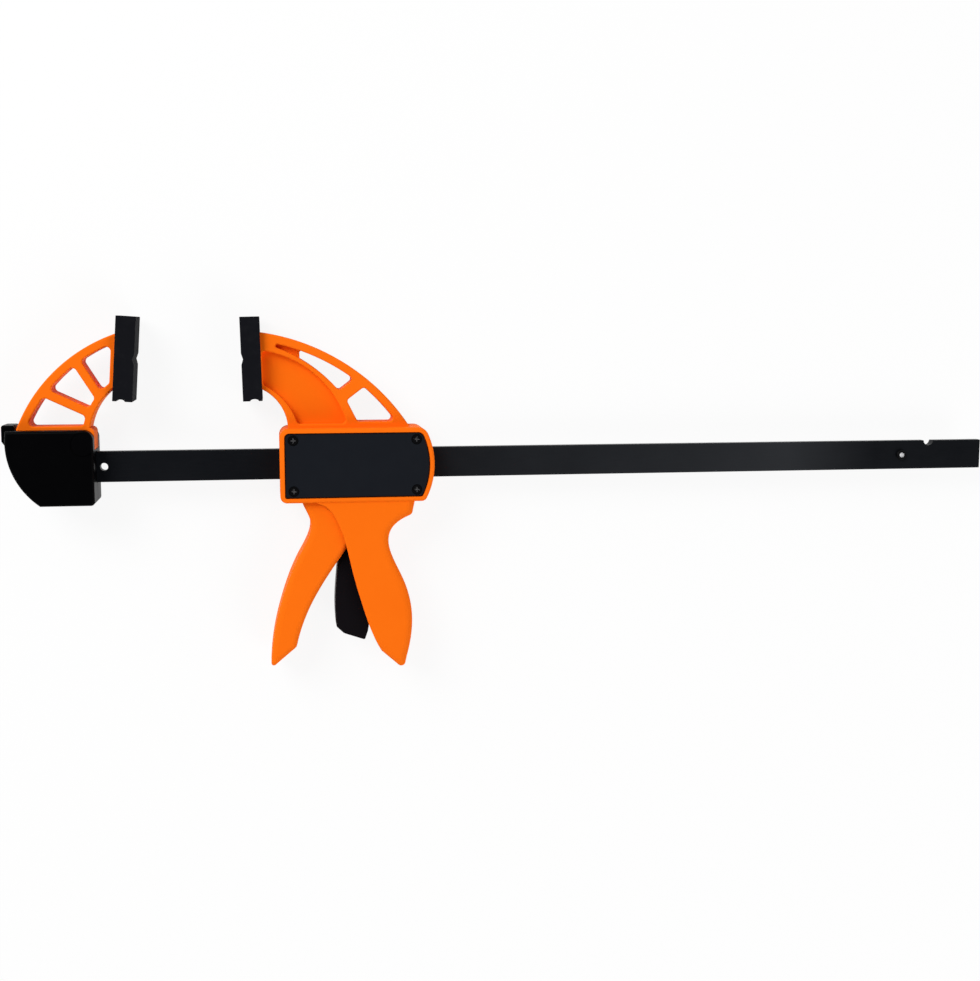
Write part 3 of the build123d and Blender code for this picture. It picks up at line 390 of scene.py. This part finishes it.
def sink_pocket(shape):
    """Pocket in the back, which the jaw's shoe fills."""
    for y in (-POCKET_HALF_HEIGHT, POCKET_HALF_HEIGHT):
        cut(shape, (0, y, 0), (0, 1, 0))
    for z in (-POCKET_HALF_WIDTH, POCKET_HALF_WIDTH):
        cut(shape, (0, 0, z), (0, 0, 1))
    floor = []
    for face in shape.faces:
        middle = face.calc_center_median()
        in_back = face.normal.x > 0.9 and abs(middle.x - HALF_THICK) < TINY
        if in_back and abs(middle.y) < POCKET_HALF_HEIGHT and abs(middle.z) < POCKET_HALF_WIDTH:
            floor.append(face)
    sunk = bmesh.ops.extrude_face_region(shape, geom=floor)
    bmesh.ops.translate(shape, vec=(-POCKET_DEPTH, 0, 0), verts=grown_verts(sunk))
    bmesh.ops.delete(shape, geom=floor, context="FACES_KEEP_BOUNDARY")


def press_ribs(shape):
    """Fine ribs across the work face, above and below the groove."""
    count = int((HALF_HIGH - GROOVE_HALF - 2 * PAD_EDGE) / RIB_PITCH)
    for sign in (-1, 1):
        for step in range(count):
            level = sign * (GROOVE_HALF + PAD_EDGE + step * RIB_PITCH)
            cut(shape, (0, level, 0), (0, 1, 0))
            if step % 2:
                valley = [
                    vert
                    for vert in shape.verts
                    if abs(vert.co.y - level) < TINY
                    and abs(vert.co.x + HALF_THICK) < TINY
                    and abs(vert.co.z) < HALF_WIDE - 1.5 * PAD_EDGE
                ]
                bmesh.ops.translate(shape, vec=(RIB_DEPTH, 0, 0), verts=valley)


def jaw_pad(name, node, body, lean, mirrored):
    """Moulded pad in the place of a plain one, its work face towards the other jaw."""
    shape = pad_blank()
    sink_pocket(shape)
    press_ribs(shape)
    if mirrored:
        bmesh.ops.scale(shape, vec=(-1, 1, 1), verts=shape.verts)
    low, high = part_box(node)
    place = Matrix.Translation((low + high) / 2) @ Matrix.Rotation(lean, 4, "Z")
    bmesh.ops.transform(shape, matrix=place, verts=shape.verts)
    bmesh.ops.recalc_face_normals(shape, faces=shape.faces)
    stand_in(name, shape, node, "pad_rubber", body)


jaw_pad("fixed_rubber_pad", "fixed_pad", "fixed_pad", FIXED_PAD_LEAN, mirrored=True)
jaw_pad("moving_rubber_pad", "moving_pad", "moving_pad", MOVING_PAD_LEAN, mirrored=False)


def live_spring(name, node, body):
    """A copy of a spring, with its own mesh, that rides on a body."""
    shape = bmesh.new()
    shape.from_mesh(frame["nodes"][node].data)
    bmesh.ops.remove_doubles(shape, verts=shape.verts, dist=TINY / 10)
    spring = stand_in(name, shape, node, "spring_steel", body)
    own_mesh(spring)


live_spring(
    "drive_coil",
    "drive_spring",
    "sliding_jaw",
)
live_spring(
    "latch_coil",
    "latch_spring",
    "bar_and_fixed_jaw",
)


# ---------------------------------------------------------------- camera
FRAME_WIDTH, FOCAL_LENGTH = 981.0, 1403.02  # in pixels
SENSOR_WIDTH = 36.0
CAMERA_PLACE = (-0.13089, 0.09103, 0.76003)
CAMERA_AIM = Vector((0.152724, -0.120592, -0.980884))
CAMERA_LEVEL = Vector((0.988096, 0.0, 0.153842))  # to the right, before the roll
CAMERA_ROLL = 0.00029459

camera = bpy.data.objects.new("camera", bpy.data.cameras.new("camera"))
bpy.context.scene.collection.objects.link(camera)
bpy.context.scene.camera = camera
camera.data.sensor_fit = "HORIZONTAL"
camera.data.sensor_width = SENSOR_WIDTH
camera.data.lens = FOCAL_LENGTH * SENSOR_WIDTH / FRAME_WIDTH
camera.data.clip_end = 20.0
right = CAMERA_LEVEL * (1 - CAMERA_ROLL * CAMERA_ROLL / 2) + CAMERA_LEVEL.cross(CAMERA_AIM) * CAMERA_ROLL
facing = Matrix((right, right.cross(CAMERA_AIM), -CAMERA_AIM)).transposed()
camera.matrix_world = Matrix.Translation(CAMERA_PLACE) @ facing.to_4x4()


# ---------------------------------------------------------------- floor and light
FLOOR_HALF_SIZE, FLOOR_DROP = 3.0, 0.5 * MM
PAPER_WHITENESS, PAPER_GLOW = 0.9, 0.9
LAMPS = {  # place, size and power
    "key": ((-1.3, 1.2, 1.5), 1.2, 41),
    "fill": ((1.3, -1.5, 1.5), 1.4, 28),
}
WALL_TO_CEILING = ((0.25, 1.0), (0.8, 0.04))  # by how far up a ray looks


def white_paper(whiteness, glow):
    """White paper that takes the clamp's shadow, nearly plain white where it is seen or mirrored."""
    finish = Finish("white_paper")
    fibres = finish.noise(0.6, detail=2.0)
    tint = finish.mix(fibres, (whiteness,) * 3, (whiteness * 0.985,) * 3)
    finish.surface(tint, 0.95, Specular_IOR_Level=0.0)
    plain_white = finish.node("ShaderNodeEmission", {}, Color=(1, 1, 1), Strength=1.0)
    rays = finish.tree.nodes.new("ShaderNodeLightPath").outputs
    seen = Socket(finish, rays["Is Camera Ray"]) + rays["Is Glossy Ray"] + rays["Is Transmission Ray"]
    blend = finish.node("ShaderNodeMixShader", {}, seen * glow, finish.shader.outputs[0], plain_white)
    finish.feed(finish.tree.nodes["Material Output"].inputs["Surface"], blend)
    return finish.made


floor_shape = bmesh.new()
bmesh.ops.create_grid(floor_shape, x_segments=1, y_segments=1, size=FLOOR_HALF_SIZE)
bmesh.ops.translate(floor_shape, vec=(0, 0, -FLOOR_DROP), verts=floor_shape.verts)
floor_mesh = bpy.data.meshes.new("floor")
floor_shape.to_mesh(floor_mesh)
floor_shape.free()
floor_mesh.materials.append(white_paper(PAPER_WHITENESS, PAPER_GLOW))
floor_object = bpy.data.objects.new("floor", floor_mesh)
bpy.context.scene.collection.objects.link(floor_object)

for lamp_name, (lamp_place, lamp_size, lamp_power) in LAMPS.items():
    lamp = bpy.data.objects.new(lamp_name, bpy.data.lights.new(lamp_name, "AREA"))
    lamp.data.shape = "SQUARE"
    lamp.data.size = lamp_size
    lamp.data.energy = lamp_power
    towards_clamp = (-Vector(lamp_place)).to_track_quat("-Z", "Y").to_matrix().to_4x4()
    lamp.matrix_world = Matrix.Translation(lamp_place) @ towards_clamp
    bpy.context.scene.collection.objects.link(lamp)

# a studio with pale walls and a dark ceiling
studio = Finish("studio", "worlds")
upward_look = studio.node("ShaderNodeSeparateXYZ", {}, studio.node("ShaderNodeTexCoord"), output=2)
wall_light = studio.node("ShaderNodeValToRGB", {"stops": WALL_TO_CEILING}, upward_look)
studio.feed(studio.shader.inputs["Color"], wall_light)
bpy.context.scene.world = studio.made
bpy.context.scene.view_settings.view_transform = "Standard"
